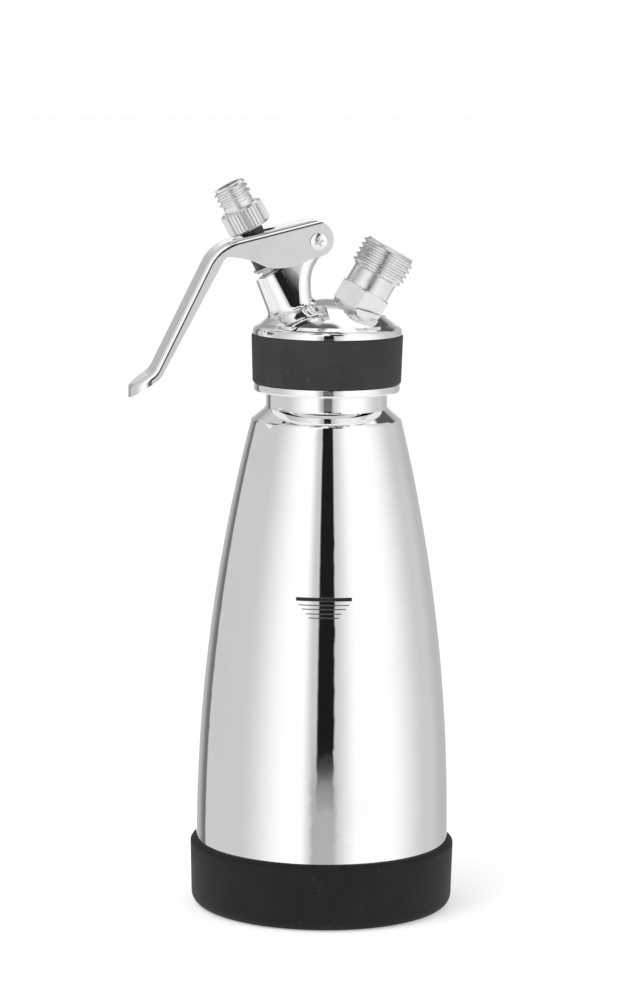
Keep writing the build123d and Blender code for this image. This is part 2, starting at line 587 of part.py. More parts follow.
with BuildPart() as lever_bush:
    crown_edge = CROWN_CENTRE + sqrt(BUSH_CROWN**2 - BUSH_RADIUS**2)
    crown_neck = CROWN_CENTRE + sqrt(BUSH_CROWN**2 - BUSH_NECK_RADIUS**2)
    crown_middle = (BUSH_RADIUS + BUSH_NECK_RADIUS) / 2
    with BuildSketch(section_plane(VALVE)):
        with BuildLine():
            Polyline((BUSH_NECK_RADIUS, crown_neck), (BUSH_NECK_RADIUS, ADAPTER_LEVEL - FACE_GAP),
                     (FIT, ADAPTER_LEVEL - FACE_GAP), (FIT, CAP_TOP + FACE_GAP),
                     (BUSH_RADIUS, CAP_TOP + FACE_GAP), (BUSH_RADIUS, crown_edge))
            ThreePointArc((BUSH_RADIUS, crown_edge),
                          (crown_middle, CROWN_CENTRE + sqrt(BUSH_CROWN**2 - crown_middle**2)),
                          (BUSH_NECK_RADIUS, crown_neck))
        make_face()
    revolve(axis=axis_of(VALVE))
write(lever_bush, "lever_bush")

with BuildPart() as nozzle_adapter:
    knurl_top = ADAPTER_LEVEL + KNURL_HEIGHT
    thread_low = knurl_top + ADAPTER_NECK_LENGTH
    thread_top = thread_low + NOZZLE_THREAD_LENGTH
    core = NOZZLE_THREAD_RADIUS - FINE_RIDGE
    with BuildSketch(VALVE.offset(ADAPTER_LEVEL)):
        Circle(KNURL_RADIUS)
        with PolarLocations(KNURL_RADIUS + 0.12, KNURL_TEETH):
            Rectangle(2 * KNURL_DEPTH, 2 * KNURL_DEPTH, rotation=45, mode=Mode.SUBTRACT)
    extrude(amount=KNURL_HEIGHT)
    revolve(outline(VALVE, (0, ADAPTER_LEVEL), (KNURL_RADIUS - KNURL_BEVEL, ADAPTER_LEVEL),
                    (KNURL_RADIUS, ADAPTER_LEVEL + KNURL_BEVEL), (KNURL_RADIUS, knurl_top - KNURL_BEVEL),
                    (KNURL_RADIUS - KNURL_BEVEL, knurl_top), (0, knurl_top)),
            axis=axis_of(VALVE), mode=Mode.INTERSECT)
    revolve(outline(VALVE, (0, knurl_top - 1), (ADAPTER_NECK_RADIUS, knurl_top - 1),
                    (ADAPTER_NECK_RADIUS, thread_low - 0.4), (core, thread_low),
                    (core, thread_top), (0, thread_top)), axis=axis_of(VALVE))
    turned = thread_ridge(VALVE, core - FINE_BITE, NOZZLE_THREAD_RADIUS, FINE_PITCH,
                          (NOZZLE_THREAD_LENGTH - 0.6) / FINE_PITCH, FINE_FOOT, FINE_CREST, thread_low)
    limit = revolve(outline(VALVE, (0, thread_low - 0.2), (core, thread_low - 0.2),
                            (NOZZLE_THREAD_RADIUS + 0.1, thread_low + 0.8),
                            (NOZZLE_THREAD_RADIUS + 0.1, thread_top - 1.1), (core, thread_top - 0.05),
                            (0, thread_top - 0.05)), axis=axis_of(VALVE), mode=Mode.PRIVATE)
    add(turned & limit)
    socket_top = STEM_TOP + ADAPTER_SEAL_HEIGHT
    revolve(outline(VALVE, (0, ADAPTER_LEVEL - 1), (FIT, ADAPTER_LEVEL - 1), (FIT, socket_top),
                    (ADAPTER_PASSAGE, socket_top), (ADAPTER_PASSAGE, knurl_top - 0.4),
                    (NOZZLE_BORE, knurl_top + 0.6), (NOZZLE_BORE, thread_top + 1), (0, thread_top + 1)),
            axis=axis_of(VALVE), mode=Mode.SUBTRACT)
write(nozzle_adapter, "nozzle_adapter")

with BuildPart() as adapter_seal:
    revolve(ring(VALVE, STEM_BORE, STEM_RADIUS, STEM_TOP + FACE_GAP, socket_top - FACE_GAP),
            axis=axis_of(VALVE))
write(adapter_seal, "adapter_seal")

with BuildPart() as valve_spring:
    spring_low = -SPRING_POCKET_DEPTH + SPRING_WIRE / 2 + FACE_GAP
    spring_high = CAP_DISC_LEVEL - SPRING_WIRE / 2 - FACE_GAP
    spring_radius = SPRING_POCKET_RADIUS - SPRING_ROOM - SPRING_WIRE / 2
    with BuildSketch(Plane.XY, mode=Mode.PRIVATE) as wire:
        Circle(SPRING_WIRE / 2)
    add(wound(VALVE, wire.sketch, spring_radius, (spring_high - spring_low) / SPRING_COILS,
              SPRING_COILS, spring_low))
write(valve_spring, "valve_spring")

# ---------------------------------------------------------------- lever


def plate_point(along, below):
    """Point measured along the lever's plate from beside the pivot, and below its top."""
    slope = radians(PLATE_SLOPE)
    rise = PLATE_RISE - below
    return (PIVOT[0] - rise * sin(slope) - along * cos(slope),
            PIVOT[1] + rise * cos(slope) - along * sin(slope))


def moved(point, slope, length):
    """Point reached by going down and away from the pivot at a slope."""
    return (point[0] - length * cos(radians(slope)), point[1] - length * sin(radians(slope)))


def lever_top(below):
    """Corners along the lever's outer face, or along a line below it by the sheet's thickness."""
    half = radians(ARM_SLOPE - PLATE_SLOPE) / 2
    half_tip = radians(ARM_SLOPE - TIP_SLOPE) / 2
    bend = plate_point(PLATE_LENGTH - below * tan(half), below)
    tip_bend = moved(bend, ARM_SLOPE, ARM_LENGTH - below * (tan(half) - tan(half_tip)))
    tip = moved(tip_bend, TIP_SLOPE, TIP_LENGTH + below * tan(half_tip))
    return bend, tip_bend, tip


HEEL_RADIUS = (PLATE_RISE**2 + (CHEEK_RADIUS + HEEL_START)**2) / (2 * PLATE_RISE)
CHEEK_EDGE = ((4.2, 12.35), (8.6, 13.1), (15.5, 12.6), (18.0, 11.8), (22.3, 8.75), (26.9, 6.2), (31.4, 4.7))


def heel_point(turned):
    """Point of the rounded heel, a number of degrees from the end of the plate's flat top."""
    turned = radians(turned)
    return plate_point(HEEL_START - HEEL_RADIUS * sin(turned), HEEL_RADIUS * (1 - cos(turned)))


def lever_silhouette():
    """Side view of the lever with its cheeks and turned-down edges, square above the heel."""
    bend, tip_bend, tip = lever_top(0)
    inner_bend, inner_tip_bend, inner_tip = lever_top(FLANGE_DEPTH)
    edge = [plate_point(*point) for point in CHEEK_EDGE]
    tip = moved(tip, TIP_SLOPE, FLANGE_DEPTH)
    tip_low = (tip[0], tip[1] - FLANGE_DEPTH / cos(radians(TIP_SLOPE)))
    with BuildSketch(SIDE) as sketch:
        with BuildLine():
            Polyline(heel_point(90), plate_point(HEEL_START - HEEL_RADIUS, 0), bend, tip_bend, tip, tip_low,
                     inner_tip_bend, edge[-1])
            Spline(*edge[::-1])
            Line(edge[0], heel_point(HEEL_END))
            ThreePointArc(heel_point(HEEL_END), heel_point((HEEL_END + 90) / 2), heel_point(90))
        make_face()
        fillet(corner(sketch, *bend), ARM_BEND_RADIUS)
        fillet(corner(sketch, *tip_bend), TIP_BEND_RADIUS)
        fillet(corner(sketch, *inner_tip_bend), TIP_BEND_RADIUS)
        fillet(corner(sketch, *edge[-1]), CHEEK_ROUND)
    return sketch.sketch


def lever_hollow():
    """Side view of the space under the sheet, open below and behind the pivot."""
    bend, tip_bend, tip = lever_top(LEVER_SHEET)
    start = plate_point(-2 * CHEEK_RADIUS, LEVER_SHEET)
    far = moved(tip, TIP_SLOPE, TIP_LENGTH)
    low = tip[1] - TIP_LENGTH
    with BuildSketch(SIDE) as sketch:
        with BuildLine():
            Polyline(start, bend, tip_bend, far, (far[0], low - TIP_LENGTH), (start[0], low), close=True)
        make_face()
        fillet(corner(sketch, *bend), ARM_BEND_RADIUS - LEVER_SHEET)
        fillet(corner(sketch, *tip_bend), TIP_BEND_RADIUS + LEVER_SHEET)
    return sketch.sketch


def lever_plan(inset):
    """Plan view of the lever, moved inwards by inset; the inner one runs on past the pivot."""
    half = LEVER_HALF - inset
    end = lever_top(0)[2][0] + inset
    back = 2 * CHEEK_RADIUS if inset else CHEEK_RADIUS
    with BuildSketch(Plane.XY) as sketch:
        with BuildLine():
            Polyline((back, half), (end, half), (end, -half), (back, -half), close=True)
        make_face()
        for side in (1, -1):
            fillet(corner(sketch, end, side * half), TIP_ROUND - inset)
    return sketch.sketch


with BuildPart() as lever:
    extrude(lever_silhouette(), 2 * LEVER_HALF, both=True)
    extrude(lever_plan(0), 2 * PIVOT[1], mode=Mode.INTERSECT)
    # bends between the outer face and the sides
    outer_faces = lever.faces().filter_by(lambda f: f.normal_at().Z > 0.3)
    tip_edge = outer_faces.edges().sort_by(Axis.X)[0]
    fillet(outer_faces.edges().filter_by(lambda e: abs((e @ 0.5).Y) > 1) + [tip_edge], LEVER_EDGE_ROUND)
    # heel, rounded above the pivot
    with BuildSketch(SIDE):
        with BuildLine():
            ThreePointArc(heel_point(0), heel_point(45), heel_point(90))
            Polyline(heel_point(90), plate_point(-BEYOND, HEEL_RADIUS), plate_point(-BEYOND, -BEYOND),
                     plate_point(HEEL_START, -BEYOND), heel_point(0))
        make_face()
    extrude(amount=2 * LEVER_HALF, both=True, mode=Mode.SUBTRACT)
    # space under the sheet
    hollow = extrude(lever_hollow(), 2 * LEVER_HALF, both=True, mode=Mode.PRIVATE) & \
        extrude(lever_plan(LEVER_SHEET), 2 * PIVOT[1], mode=Mode.PRIVATE)
    add(hollow, mode=Mode.SUBTRACT)
    # slot for the stem and holes for the pivot
    slot_middle = plate_point((SLOT_START + SLOT_END) / 2, 0)
    with BuildSketch(leaning_plane((slot_middle[0], 0, slot_middle[1]), -PLATE_SLOPE)):
        SlotCenterToCenter(SLOT_END - SLOT_START, 2 * SLOT_HALF)
    extrude(amount=-2 * LEVER_SHEET, mode=Mode.SUBTRACT)
    with Locations(PIVOT_NEAR):
        Cylinder(BOLT_RADIUS + RUNNING_FIT, 4 * LEVER_HALF, mode=Mode.SUBTRACT)
write(lever, "lever")

# ---------------------------------------------------------------- pivot bolt and sleeve nut
HEAD_LEVEL = LEVER_HALF + BOLT_END_PLAY
HEAD_TOP = HEAD_LEVEL + BOLT_HEAD_HEIGHT
HEAD_RISE = BOLT_HEAD_HEIGHT * 0.55  # height of the head's dome
HEAD_SPHERE = (BOLT_HEAD_RADIUS**2 + HEAD_RISE**2) / (2 * HEAD_RISE)
HEAD_MIDDLE = (BOLT_HEAD_RADIUS / 2, HEAD_TOP - HEAD_SPHERE + sqrt(HEAD_SPHERE**2 - BOLT_HEAD_RADIUS**2 / 4))

with BuildPart() as pivot_bolt:
    with BuildSketch(section_plane(PIVOT_NEAR)):
        with BuildLine():
            Polyline((0, HEAD_TOP), (0, -SCREW_END), (SCREW_RADIUS, -SCREW_END), (SCREW_RADIUS, HEAD_LEVEL),
                     (BOLT_HEAD_RADIUS, HEAD_LEVEL), (BOLT_HEAD_RADIUS, HEAD_TOP - HEAD_RISE))
            ThreePointArc((BOLT_HEAD_RADIUS, HEAD_TOP - HEAD_RISE), HEAD_MIDDLE, (0, HEAD_TOP))
        make_face()
    revolve(axis=axis_of(PIVOT_NEAR))
    with BuildSketch(PIVOT_NEAR.offset(HEAD_TOP + 1)):
        Rectangle(RECESS_LENGTH, RECESS_WIDTH, rotation=20)
        Rectangle(RECESS_WIDTH, RECESS_LENGTH, rotation=20)
    extrude(amount=-RECESS_DEPTH - 1, mode=Mode.SUBTRACT)
write(pivot_bolt, "pivot_bolt")

with BuildPart() as pivot_nut:
    sleeve_floor = SCREW_END + SLEEVE_PLAY
    sleeve_end = SLEEVE_PLAY - HEAD_LEVEL
    with BuildSketch(section_plane(PIVOT_FAR)):
        with BuildLine():
            Polyline((0, HEAD_TOP), (0, sleeve_floor), (SCREW_RADIUS + FACE_GAP, sleeve_floor),
                     (SCREW_RADIUS + FACE_GAP, sleeve_end), (BOLT_RADIUS, sleeve_end),
                     (BOLT_RADIUS, HEAD_LEVEL), (BOLT_HEAD_RADIUS, HEAD_LEVEL),
                     (BOLT_HEAD_RADIUS, HEAD_TOP - HEAD_RISE))
            ThreePointArc((BOLT_HEAD_RADIUS, HEAD_TOP - HEAD_RISE), HEAD_MIDDLE, (0, HEAD_TOP))
        make_face()
    revolve(axis=axis_of(PIVOT_FAR))
    with BuildSketch(PIVOT_FAR.offset(HEAD_TOP + 1)):
        Rectangle(3 * BOLT_HEAD_RADIUS, RECESS_WIDTH, rotation=35)
    extrude(amount=-RECESS_DEPTH * 0.7 - 1, mode=Mode.SUBTRACT)
write(pivot_nut, "pivot_nut")

# ---------------------------------------------------------------- charger connector
THREAD_LOW = SHANK_RISE
THREAD_TOP = THREAD_LOW + CHARGER_THREAD_LENGTH
CHARGER_CORE = CHARGER_THREAD_RADIUS - FINE_RIDGE
BORE_FLOOR = THREAD_TOP - CHARGER_BORE_DEPTH
PASSAGE = PIN_SHANK_RADIUS + SLEEVE_WALL + PASSAGE_ROOM
PIN_SEAT = BORE_FLOOR - PIN_BASE_HEIGHT

with BuildPart() as charger_nipple:
    with BuildSketch(NIPPLE.offset(HEX_LOW)):
        RegularPolygon(HEX_CORNER, 6, rotation=HEX_TURN)
    extrude(amount=HEX_HEIGHT)
    revolve(outline(NIPPLE, (0, HEX_LOW), (HEX_CORNER - 0.4, HEX_LOW), (HEX_CORNER, HEX_LOW + 0.25),
                    (HEX_CORNER, SHANK_LOW - HEX_BEVEL), (HEX_FLATS / 2 - 0.3, SHANK_LOW), (0, SHANK_LOW)),
            axis=axis_of(NIPPLE), mode=Mode.INTERSECT)
    revolve(outline(NIPPLE, (0, SHANK_LOW - 1), (SHANK_RADIUS, SHANK_LOW - 1),
                    (SHANK_RADIUS, THREAD_LOW - 0.5), (CHARGER_CORE, THREAD_LOW + 0.2),
                    (CHARGER_CORE, THREAD_TOP - 0.2), (CHARGER_CORE - 0.2, THREAD_TOP), (0, THREAD_TOP)),
            axis=axis_of(NIPPLE))
    turned = thread_ridge(NIPPLE, CHARGER_CORE - FINE_BITE, CHARGER_THREAD_RADIUS, FINE_PITCH,
                          (CHARGER_THREAD_LENGTH - 0.8) / FINE_PITCH, FINE_FOOT, FINE_CREST, THREAD_LOW + 0.2)
    limit = revolve(outline(NIPPLE, (0, THREAD_LOW), (CHARGER_CORE, THREAD_LOW),
                            (CHARGER_THREAD_RADIUS + 0.1, THREAD_LOW + 1.0),
                            (CHARGER_THREAD_RADIUS + 0.1, THREAD_TOP - 1.4), (CHARGER_CORE, THREAD_TOP - 0.2),
                            (0, THREAD_TOP - 0.2)), axis=axis_of(NIPPLE), mode=Mode.PRIVATE)
    add(turned & limit)
    stud_low = HEX_LOW - WASHER_HEIGHT - STUD_LENGTH
    revolve(outline(NIPPLE, (0, stud_low), (STUD_RADIUS - 0.6, stud_low), (STUD_RADIUS, stud_low + 0.6),
                    (STUD_RADIUS, HEX_LOW + 1), (0, HEX_LOW + 1)), axis=axis_of(NIPPLE))
    revolve(outline(NIPPLE, (0, stud_low - 1), (PASSAGE, stud_low - 1), (PASSAGE, PIN_SEAT),
                    (PIN_BASE_RADIUS + FACE_GAP, PIN_SEAT), (PIN_BASE_RADIUS + FACE_GAP, BORE_FLOOR),
                    (CHARGER_BORE, BORE_FLOOR), (CHARGER_BORE, THREAD_TOP - CHARGER_MOUTH_DEPTH),
                    (CHARGER_MOUTH, THREAD_TOP - CHARGER_MOUTH_DEPTH), (CHARGER_MOUTH, THREAD_TOP - 0.8),
                    (CHARGER_MOUTH + 0.8, THREAD_TOP), (CHARGER_MOUTH + 0.8, THREAD_TOP + 1),
                    (0, THREAD_TOP + 1)), axis=axis_of(NIPPLE), mode=Mode.SUBTRACT)
write(charger_nipple, "charger_nipple")

with BuildPart() as nipple_washer:
    revolve(ring(NIPPLE, STUD_RADIUS + RUNNING_FIT, WASHER_RADIUS, HEX_LOW - WASHER_HEIGHT,
                 HEX_LOW - FACE_GAP), axis=axis_of(NIPPLE))
write(nipple_washer, "nipple_washer")

with BuildPart() as piercing_pin:
    pin_low = PIN_SEAT - PIN_SHANK_LENGTH
    revolve(outline(NIPPLE, (0, pin_low), (PIN_SHANK_RADIUS, pin_low), (PIN_SHANK_RADIUS, PIN_SEAT + FACE_GAP),
                    (PIN_BASE_RADIUS, PIN_SEAT + FACE_GAP), (PIN_BASE_RADIUS, BORE_FLOOR - FACE_GAP),
                    (PIN_RADIUS, BORE_FLOOR - FACE_GAP), (PIN_RADIUS, BORE_FLOOR + PIN_LENGTH - PIN_POINT),
                    (PIN_BORE + 0.15, BORE_FLOOR + PIN_LENGTH), (0, BORE_FLOOR + PIN_LENGTH)),
            axis=axis_of(NIPPLE))
    revolve(ring(NIPPLE, 0, PIN_BORE, pin_low + 2.0, BORE_FLOOR + PIN_LENGTH + 1), axis=axis_of(NIPPLE),
            mode=Mode.SUBTRACT)
    cross = Plane(NIPPLE.origin + NIPPLE.z_dir * (pin_low + 2.6), x_dir=NIPPLE.x_dir, z_dir=NIPPLE.y_dir)
    with Locations(cross):
        Cylinder(PIN_BORE, 3 * PIN_SHANK_RADIUS, mode=Mode.SUBTRACT)
write(piercing_pin, "piercing_pin")

with BuildPart() as charger_gasket:
    revolve(ring(NIPPLE, CHARGER_SEAL_INNER, CHARGER_BORE - CHARGER_SEAL_PLAY, BORE_FLOOR + FACE_GAP,
                 BORE_FLOOR + CHARGER_SEAL_HEIGHT), axis=axis_of(NIPPLE))
write(charger_gasket, "charger_gasket")

with BuildPart() as check_valve_sleeve:
    revolve(ring(NIPPLE, PIN_SHANK_RADIUS + FACE_GAP, PIN_SHANK_RADIUS + SLEEVE_WALL, pin_low + SLEEVE_START,
                 pin_low + SLEEVE_START + SLEEVE_LENGTH), axis=axis_of(NIPPLE))
write(check_valve_sleeve, "check_valve_sleeve")
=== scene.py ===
"""Whipped cream dispenser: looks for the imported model, in metres and in the model's own frame."""

import logging
from dataclasses import dataclass
from enum import Enum
from math import cos, radians, sin
from typing import Any, Mapping

import bpy
import numpy as np
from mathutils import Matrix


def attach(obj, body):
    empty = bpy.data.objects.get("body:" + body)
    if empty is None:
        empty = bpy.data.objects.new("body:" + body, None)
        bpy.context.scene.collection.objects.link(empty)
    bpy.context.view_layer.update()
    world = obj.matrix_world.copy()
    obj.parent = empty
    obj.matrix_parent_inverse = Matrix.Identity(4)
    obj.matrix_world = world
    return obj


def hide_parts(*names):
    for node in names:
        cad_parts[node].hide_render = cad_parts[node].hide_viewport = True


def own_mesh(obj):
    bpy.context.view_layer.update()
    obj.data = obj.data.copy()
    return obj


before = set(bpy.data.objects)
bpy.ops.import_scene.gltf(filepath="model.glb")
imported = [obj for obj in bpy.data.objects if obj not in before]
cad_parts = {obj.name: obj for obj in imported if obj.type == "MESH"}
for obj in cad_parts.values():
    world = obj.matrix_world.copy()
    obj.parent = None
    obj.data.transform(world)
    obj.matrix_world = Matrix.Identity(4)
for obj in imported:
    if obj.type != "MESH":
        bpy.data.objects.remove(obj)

log = logging.getLogger("cream_dispenser")

Number = float | int
Triple = tuple[float, float, float]
Span = tuple[float, float]

MIDDLE = 0.5  # mean of a noise
BLACK = (0.0, 0.0, 0.0)
WHITE = (1.0, 1.0, 1.0)


# ---------------------------------------------------------------- shader graphs


class Wire:
    """An output socket that can be used in arithmetic; every operation adds a Math node."""

    def __init__(self, graph: "Graph", socket: bpy.types.NodeSocket | None) -> None:
        """Keep the socket and the graph that it belongs to."""
        self.graph = graph
        self.socket = socket

    def math(self, operation: str, *values: Any) -> "Wire":
        """Result of one Math node, by its operation's name and its inputs as wires or numbers."""
        return self.graph.node("ShaderNodeMath", {"operation": operation}, dict(enumerate(values)))

    def __add__(self, other: Any) -> "Wire":
        """Sum."""
        return self.math("ADD", self, other)

    def __radd__(self, other: Any) -> "Wire":
        """Sum, with the wire on the right."""
        return self.math("ADD", other, self)

    def __sub__(self, other: Any) -> "Wire":
        """Difference."""
        return self.math("SUBTRACT", self, other)

    def __rsub__(self, other: Any) -> "Wire":
        """Difference, with the wire on the right."""
        return self.math("SUBTRACT", other, self)

    def __mul__(self, other: Any) -> "Wire":
        """Product."""
        return self.math("MULTIPLY", self, other)

    def __rmul__(self, other: Any) -> "Wire":
        """Product, with the wire on the right."""
        return self.math("MULTIPLY", other, self)

    def __abs__(self) -> "Wire":
        """Size without sign."""
        return self.math("ABSOLUTE", self)

    def __or__(self, other: Any) -> "Wire":
        """The larger of two masks."""
        return self.math("MAXIMUM", self, other)

    def __ror__(self, other: Any) -> "Wire":
        """The larger of two masks, with the wire on the right."""
        return self.math("MAXIMUM", other, self)

    def rise(self, low: Number, high: Number) -> "Wire":
        """Smooth step, which leaves 0 at the low value and reaches 1 at the high one."""
        settings = {"interpolation_type": "SMOOTHSTEP"}
        return self.graph.node("ShaderNodeMapRange", settings, {"Value": self, "From Min": low, "From Max": high})

    def within(self, start: Span, end: Span) -> "Wire":
        """Mask that rises from 0 to 1 between the start's two values and falls back between the end's two."""
        return self.rise(*start) * (1 - self.rise(*end))


class Graph:
    """Nodes of one material or world."""

    def __init__(self, owner: bpy.types.Material | bpy.types.World) -> None:
        """Start an empty graph.

        Args:
            owner: the material or world that it belongs to.
        """
        owner.use_nodes = True
        self.tree = owner.node_tree
        self.tree.nodes.clear()

    def node(self, kind: str, settings: Mapping[str, Any], inputs: Mapping[Any, Any], output: Any = 0) -> Wire:
        """Add a node.

        Args:
            kind: Blender's type of the node.
            settings: the node's properties, which are set first.
            inputs: wires, numbers or tuples by the input's name or number.
            output: name or number of the output to return, or None for a node without one.

        Returns:
            The chosen output.
        """
        made = self.tree.nodes.new(kind)
        for name, value in settings.items():
            setattr(made, name, value)
        for name, value in inputs.items():
            if isinstance(value, Wire):
                self.tree.links.new(value.socket, made.inputs[name])
            elif isinstance(value, tuple) and made.inputs[name].type == "RGBA":
                made.inputs[name].default_value = (*value, 1.0)
            else:
                made.inputs[name].default_value = value
        return Wire(self, None if output is None else made.outputs[output])

    def axes(self, vector: Wire) -> tuple[Wire, Wire, Wire]:
        """X, Y and Z of a vector."""
        split = self.node("ShaderNodeSeparateXYZ", {}, {"Vector": vector})
        return tuple(Wire(self, output) for output in split.socket.node.outputs)

    def place(self) -> Wire:
        """Object coordinates, which are the model's own metres."""
        return self.node("ShaderNodeTexCoord", {}, {}, "Object")

    def noise(self, scale: Number, detail: Number = 3.0, stretch: Triple = (1.0, 1.0, 1.0)) -> Wire:
        """Noise over Object coordinates, by cells per metre, octaves and factors of the scale along the axes."""
        spot = self.node("ShaderNodeMapping", {}, {"Vector": self.place(), "Scale": stretch})
        return self.node("ShaderNodeTexNoise", {}, {"Vector": spot, "Scale": scale, "Detail": detail})

    def mix(self, share: Any, first: Any, second: Any) -> Wire:
        """Blend of two colours by a share from 0 to 1."""
        # 6 and 7 number the node's colour inputs, and 2 its colour result
        return self.node("ShaderNodeMix", {"data_type": "RGBA"}, {0: share, 6: first, 7: second}, 2)

    def bump(self, height: Wire, strength: Number, distance: Number) -> Wire:
        """Normal raised by a height, given in parts of a distance in metres."""
        return self.node("ShaderNodeBump", {}, {"Height": height, "Strength": strength, "Distance": distance})

    def seen(self, *rays: str) -> Wire:
        """Mask of the rays that are of one of the one or two named kinds."""
        masks = [self.node("ShaderNodeLightPath", {}, {}, ray) for ray in rays]
        return masks[0] if len(masks) == 1 else masks[0] | masks[1]

    def blend(self, share: Any, first: Wire, second: Wire) -> Wire:
        """Blend of two shaders by a share from 0 to 1."""
        return self.node("ShaderNodeMixShader", {}, {0: share, 1: first, 2: second})

    def end(self, shader: Wire, kind: str = "ShaderNodeOutputMaterial") -> None:
        """Join the last shader to the output node."""
        self.node(kind, {}, {"Surface": shader}, None)

    def surface(self, values: Mapping[str, Any]) -> Wire:
        """Principled shader, by wires, numbers or colours under its inputs' names."""
        return self.node("ShaderNodeBsdfPrincipled", {}, values)


# ---------------------------------------------------------------- finishes


@dataclass(frozen=True)
class FillMark:
    """Printed fill mark: a thick bar over a stack of thin lines that get shorter downwards.

    Attributes:
        facing: azimuth that the mark faces in degrees, 0 straight in front and positive to the right.
        bar: height above the floor, half width and thickness of the bar.
        lines: heights and half widths of the thin lines.
        stroke: thickness of a thin line.
        ink: colour of the print.
        gloss: roughness of the print.
        soft: half width of the blur at a stroke's edge.
        fold: half width of the blur where the near side ends.
    """

    facing: float = -8.2
    bar: Triple = (0.1112, 0.00927, 0.0012)
    lines: tuple[Span, ...] = ((0.1093, 0.00836), (0.10797, 0.00728), (0.10646, 0.00587), (0.1051, 0.00505))
    stroke: float = 0.0003
    ink: Triple = (0.006, 0.006, 0.007)
    gloss: float = 0.42
    soft: float = 0.00006
    fold: float = 0.001

    def mask(self, graph: Graph) -> Wire:
        """Mask of the print on the bottle's front.

        A stroke is where the height is within half a thickness of its level and the distance across the
        facing direction is within its half width; only the near side of the bottle is printed.

        Args:
            graph: the material's graph.

        Returns:
            A wire that is 1 on the print.
        """
        x, y, z = graph.axes(graph.place())
        turn = radians(self.facing)
        across = abs(x * cos(turn) + y * sin(turn))
        near_side = (x * sin(turn) - y * cos(turn)).rise(-self.fold, self.fold)
        strokes = [self.bar, *((level, half, self.stroke) for level, half in self.lines)]
        printed: Any = 0.0
        for level, half, thick in strokes:
            tall = 1 - abs(z - level).rise(thick / 2 - self.soft, thick / 2 + self.soft)
            wide = 1 - across.rise(half - self.soft, half + self.soft)
            printed = tall * wide | printed
        return printed * near_side


@dataclass(frozen=True)
class Metal:
    """A bare or plated metal surface with polishing lines, soft waves and handling smudges.

    Attributes:
        name: name of the material.
        colour: colour of the reflections.
        roughness: roughness of the clean polish.
        lines: cells per metre across the polishing lines.
        along: factors of that scale along each axis; small ones draw the lines out.
        line_depth: height of the lines in metres.
        waves: cells per metre of the soft waves.
        wave_depth: height of the waves in metres.
        smudge: how much rougher the smudges are.
        smudge_size: cells of the smudges for each cell of the waves.
        smudge_edge: values of the noise at which a smudge starts and is full.
        worn: brightness of a smudge, in parts of the clean metal's.
        grain: how far the lines change the roughness, in parts of it.
        mark: printed mark on it, if any.
    """

    name: str
    colour: Triple
    roughness: float
    lines: float = 2500.0
    along: Triple = (1.0, 1.0, 1.0)
    line_depth: float = 0.0000005
    waves: float = 60.0
    wave_depth: float = 0.00001
    smudge: float = 0.02
    smudge_size: float = 1.7
    smudge_edge: Span = (0.52, 0.72)
    worn: float = 0.97
    grain: float = 0.3
    mark: FillMark | None = None

    def make(self) -> bpy.types.Material:
        """Build the material.

        Returns:
            The material, which is used by no piece yet.
        """
        material = bpy.data.materials.new(self.name)
        graph = Graph(material)
        lines = graph.noise(self.lines, detail=2.0, stretch=self.along)
        waves = graph.noise(self.waves, detail=2.0)
        smudges = graph.noise(self.waves * self.smudge_size, detail=4.0).rise(*self.smudge_edge)
        normal = graph.node("ShaderNodeBump", {}, {
            "Height": lines, "Strength": 1.0, "Distance": self.line_depth,
            "Normal": graph.bump(waves, 1.0, self.wave_depth),
        })
        worn = tuple(self.worn * c for c in self.colour)
        colour: Any = graph.mix(smudges, self.colour, worn)
        roughness = self.roughness + smudges * self.smudge + (lines - MIDDLE) * (self.grain * self.roughness)
        metallic: Any = 1.0
        if self.mark:
            printed = self.mark.mask(graph)
            colour = graph.mix(printed, colour, self.mark.ink)
            roughness = roughness * (1 - printed) + printed * self.mark.gloss
            metallic = 1 - printed
        shader = graph.surface({"Base Color": colour, "Metallic": metallic, "Roughness": roughness, "Normal": normal})
        graph.end(shader)
        return material


